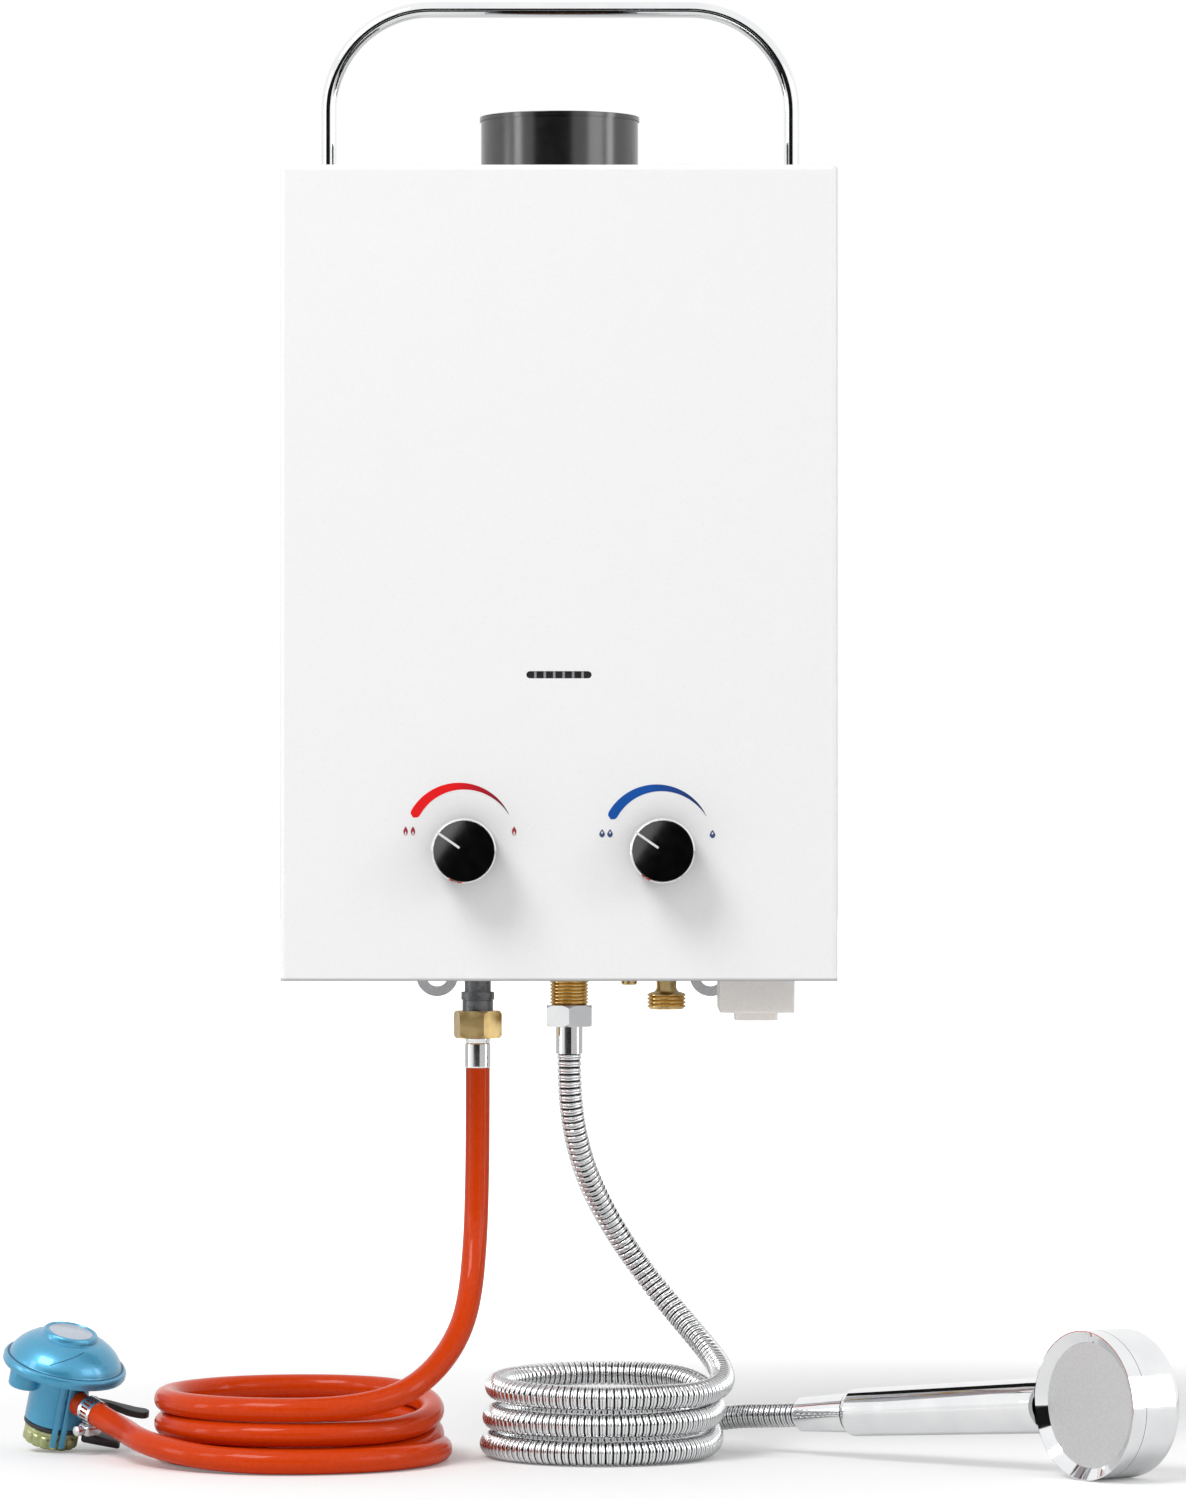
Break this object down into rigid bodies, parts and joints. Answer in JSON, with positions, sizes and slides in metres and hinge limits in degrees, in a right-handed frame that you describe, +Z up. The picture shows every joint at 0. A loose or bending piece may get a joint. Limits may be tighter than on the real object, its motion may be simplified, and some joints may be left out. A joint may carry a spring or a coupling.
{
  "type": "portable gas water heater",
  "caption": "Portable gas water heater that hangs on a wall, with a folding handle, two knobs, a regulator on its hose and a hand shower.",
  "frame": {"origin": "centre of the hanging hole, in the plane of the wall", "axes": "+Z up, +X to the right seen from the front, the front faces -Y, the wall is on the +Y side"},
  "size_m": [0.6215, 0.246, 0.7886],
  "materials": {
    "white_enamel": "gloss enamel",
    "zinc_steel": "satin",
    "grey_bracket": "satin",
    "chrome": "polished",
    "black_flue": "satin",
    "copper": "satin",
    "burner_steel": "satin",
    "cast_metal": "matt",
    "dark_steel": "satin",
    "brass": "satin",
    "black_plastic": "gloss",
    "matt_black": "matt",
    "grey_plastic": "matt",
    "ceramic": "glazed",
    "tray_plastic": "translucent",
    "cell_case": "satin",
    "orange_rubber": "gloss",
    "corrugated_steel": "polished",
    "blue_paint": "metallic",
    "olive_zinc": "passivated",
    "frosted_plate": "frosted",
    "window_glass": "satin"
  },
  "bodies": {
    "heater": {"front_cover": "white_enamel", "rear_panel": "zinc_steel", "bottom_plate": "zinc_steel", "cover_screws": "zinc_steel", "hanging_bracket": "zinc_steel", "lower_bracket": "grey_bracket", "handle_brackets": "zinc_steel", "handle_pins": "zinc_steel", "flue_collar": "black_flue", "flue_hood": "zinc_steel", "combustion_chamber": "copper", "exchanger_fins": "copper", "exchanger_pipe": "copper", "burner_bars": "burner_steel", "gas_manifold": "cast_metal", "electrodes": "ceramic", "overheat_thermostat": "grey_plastic", "gas_valve_body": "cast_metal", "gas_solenoid": "matt_black", "water_valve_body": "cast_metal", "water_valve_cover": "brass", "microswitch": "matt_black", "gas_inlet": "dark_steel", "hot_outlet": "brass", "cold_inlet": "brass", "drain_plug": "brass", "cold_pipe": "copper", "hot_pipe": "copper", "viewing_window": "window_glass", "ignition_box": "grey_plastic", "battery_holder": "tray_plastic", "gas_hose_nut": "brass", "gas_hose_ferrule": "chrome", "gas_hose_drop": "orange_rubber", "gas_hose_coil": "orange_rubber", "gas_hose_tail": "orange_rubber", "hose_clamp": "burner_steel", "regulator_coupling": "olive_zinc", "regulator_body": "blue_paint", "regulator_bonnet": "blue_paint", "shower_hose_nut": "chrome", "shower_hose_drop": "corrugated_steel", "shower_hose_coil": "corrugated_steel", "shower_hose_tail": "corrugated_steel", "shower_hose_cone": "chrome", "shower_handle": "chrome", "shower_head": "chrome"},
    "carrying_handle": {"handle": "chrome"},
    "gas_control": {"gas_knob": "black_plastic", "gas_knob_ring": "chrome", "gas_spindle": "burner_steel"},
    "water_control": {"water_knob": "black_plastic", "water_knob_ring": "chrome", "water_spindle": "burner_steel"},
    "battery_drawer": {"battery_tray": "tray_plastic", "battery_cells": "cell_case"},
    "water_push_rod": {"water_valve_rod": "burner_steel"},
    "regulator_switch": {"regulator_lever": "matt_black"},
    "shower_face": {"shower_face_ring": "chrome", "shower_face_plate": "frosted_plate"}
  },
  "joints": [
    {"name": "handle_fold", "type": "hinge", "parent": "heater", "child": "carrying_handle", "pos_m": [0, -0.0065, 0.012], "axis": [-1, 0, 0], "range_deg": [0, 180]},
    {"name": "gas_knob_turn", "type": "hinge", "parent": "heater", "child": "gas_control", "pos_m": [-0.05, -0.142, -0.3308], "axis": [0, 1, 0], "range_deg": [0, 110]},
    {"name": "water_knob_turn", "type": "hinge", "parent": "heater", "child": "water_control", "pos_m": [0.0545, -0.142, -0.3308], "axis": [0, 1, 0], "range_deg": [0, 110]},
    {"name": "battery_tray_slide", "type": "slide", "parent": "heater", "child": "battery_drawer", "axis": [0, 0, -1], "range_m": [0, 0.07]},
    {"name": "water_rod_slide", "type": "slide", "parent": "heater", "child": "water_push_rod", "axis": [-1, 0, 0], "range_m": [0, 0.003]},
    {"name": "regulator_lever_turn", "type": "hinge", "parent": "heater", "child": "regulator_switch", "pos_m": [-0.276, -0.055, -0.65197], "axis": [0.1986, -0.2367, 0.9511], "range_deg": [0, 90]},
    {"name": "shower_face_turn", "type": "hinge", "parent": "heater", "child": "shower_face", "pos_m": [0.27238, -0.21513, -0.6178], "axis": [-0.7953, -0.6062, 0], "range_deg": [0, 60]}
  ]
}
